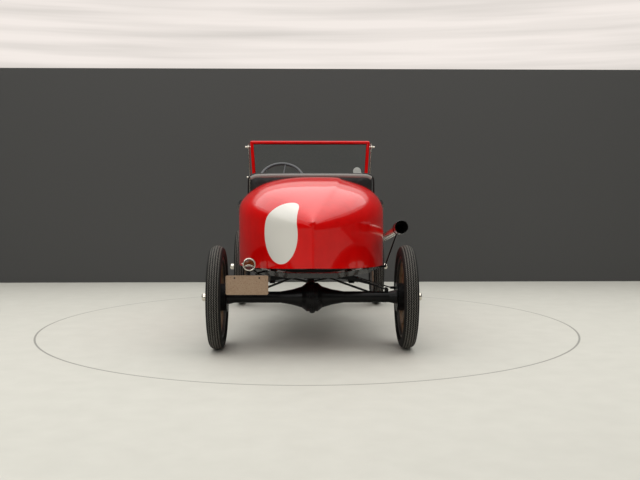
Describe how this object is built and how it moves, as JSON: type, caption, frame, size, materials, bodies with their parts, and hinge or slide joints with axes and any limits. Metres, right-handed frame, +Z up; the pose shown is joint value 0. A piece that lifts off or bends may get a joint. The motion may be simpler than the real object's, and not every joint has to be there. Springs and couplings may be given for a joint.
{
  "type": "1920s boat-tail speedster car",
  "caption": "Open speedster car with a pointed boat tail on a ladder frame, wood-spoke wheels, tilting windshield and side exhaust.",
  "frame": {"origin": "centre of the whole car's box on the floor under the tyres", "axes": "+Y forward, +X to the car's right, +Z up"},
  "size_m": [1.658, 3.48, 1.6419],
  "materials": {
    "tyre_rubber": "matte black rubber",
    "wheel_wood": "varnished natural wood",
    "hub_metal": "black enamel with nickel cap",
    "chassis_black": "satin black enamel",
    "engine_iron": "oily cast iron",
    "body_red": "gloss red enamel",
    "sill_black": "black painted wood",
    "floor_wood": "worn floor boards",
    "black_leather": "black grained leather",
    "nickel": "polished nickel",
    "core_black": "matte black core",
    "wheel_rim_dark": "black moulded rim",
    "clear_glass": "clear",
    "plate_tan": "faded tan enamel"
  },
  "bodies": {
    "chassis": {"body_brackets": "chassis_black", "body_sills": "sill_black", "chassis_rods": "chassis_black", "cockpit_coaming": "black_leather", "cockpit_sides": "body_red", "cowl": "body_red", "crank_handle": "chassis_black", "drive_shaft_tube": "chassis_black", "engine_block": "engine_iron", "exhaust_pipe": "nickel", "firewall": "chassis_black", "floor_boards": "floor_wood", "frame_cross_members": "chassis_black", "frame_rail_left": "chassis_black", "frame_rail_right": "chassis_black", "front_axle": "chassis_black", "headlamp_lenses": "clear_glass", "headlamps": "chassis_black", "number_plate": "plate_tan", "pedals_and_lever": "chassis_black", "radiator_core": "core_black", "radiator_shell": "nickel", "rear_axle_housing": "chassis_black", "rear_spindles": "chassis_black", "rear_view_mirror": "nickel", "seat_back": "black_leather", "seat_cushion": "black_leather", "springs": "chassis_black", "steering_column": "chassis_black", "tail": "body_red", "tail_lamp": "chassis_black", "windshield_stanchions": "nickel"},
    "steer_knuckle_left": {"knuckle_left": "chassis_black"},
    "steer_knuckle_right": {"knuckle_right": "chassis_black"},
    "track_rod": {"tie_rod": "chassis_black", "drag_link": "chassis_black"},
    "drop_arm": {"pitman_arm": "chassis_black"},
    "helm": {"steering_wheel": "wheel_rim_dark"},
    "bonnet_left": {"hood_left": "body_red"},
    "bonnet_right": {"hood_right": "body_red"},
    "screen": {"windshield_frame": "body_red", "windshield_glass": "clear_glass"},
    "road_wheel_front_left": {"tyre_front_left": "tyre_rubber", "wheel_front_left": "wheel_wood", "hub_front_left": "hub_metal"},
    "road_wheel_front_right": {"tyre_front_right": "tyre_rubber", "wheel_front_right": "wheel_wood", "hub_front_right": "hub_metal"},
    "road_wheel_rear_left": {"tyre_rear_left": "tyre_rubber", "wheel_rear_left": "wheel_wood", "hub_rear_left": "hub_metal"},
    "road_wheel_rear_right": {"tyre_rear_right": "tyre_rubber", "wheel_rear_right": "wheel_wood", "hub_rear_right": "hub_metal"}
  },
  "joints": [
    {"name": "steer_left", "type": "hinge", "parent": "chassis", "child": "steer_knuckle_left", "pos_m": [-0.619, 1.35, 0.39], "axis": [0, 0, 1], "range_deg": [-30, 30]},
    {"name": "steer_right", "type": "hinge", "parent": "chassis", "child": "steer_knuckle_right", "pos_m": [0.619, 1.35, 0.39], "axis": [0, 0, 1], "range_deg": [-30, 30]},
    {"name": "track_rod_pivot", "type": "hinge", "parent": "steer_knuckle_left", "child": "track_rod", "pos_m": [-0.619, 1.21, 0.39], "axis": [0, 0, 1], "range_deg": [-30, 30]},
    {"name": "drop_arm_turn", "type": "hinge", "parent": "chassis", "child": "drop_arm", "pos_m": [-0.25, 0.74242, 0.508], "axis": [0, -0.766, 0.6428], "range_deg": [-38.5, 38.5]},
    {"name": "helm_turn", "type": "hinge", "parent": "chassis", "child": "helm", "pos_m": [-0.25, -0.18, 1.282], "axis": [0, -0.766, 0.6428], "range_deg": [-153, 153]},
    {"name": "hood_left_open", "type": "hinge", "parent": "chassis", "child": "bonnet_left", "pos_m": [-0.012, 1.02, 1.123], "axis": [0, 1, 0], "range_deg": [0, 78]},
    {"name": "hood_right_open", "type": "hinge", "parent": "chassis", "child": "bonnet_right", "pos_m": [0.012, 1.02, 1.123], "axis": [0, -1, 0], "range_deg": [0, 78]},
    {"name": "screen_swing", "type": "hinge", "parent": "chassis", "child": "screen", "pos_m": [0, 0.2, 1.587], "axis": [1, 0, 0], "range_deg": [0, 40]},
    {"name": "roll_front_left", "type": "hinge", "parent": "steer_knuckle_left", "child": "road_wheel_front_left", "pos_m": [-0.711, 1.35, 0.39], "axis": [1, 0, 0], "continuous": true},
    {"name": "roll_front_right", "type": "hinge", "parent": "steer_knuckle_right", "child": "road_wheel_front_right", "pos_m": [0.711, 1.35, 0.39], "axis": [1, 0, 0], "continuous": true},
    {"name": "roll_rear_left", "type": "hinge", "parent": "chassis", "child": "road_wheel_rear_left", "pos_m": [-0.711, -1.19, 0.39], "axis": [1, 0, 0], "continuous": true},
    {"name": "roll_rear_right", "type": "hinge", "parent": "chassis", "child": "road_wheel_rear_right", "pos_m": [0.711, -1.19, 0.39], "axis": [1, 0, 0], "continuous": true}
  ],
  "couplings": [
    {"joint": "steer_right", "follows": "steer_left", "ratio": 1},
    {"joint": "track_rod_pivot", "follows": "steer_left", "ratio": -1},
    {"joint": "drop_arm_turn", "follows": "steer_left", "ratio": 1.27},
    {"joint": "helm_turn", "follows": "steer_left", "ratio": 5.08}
  ]
}
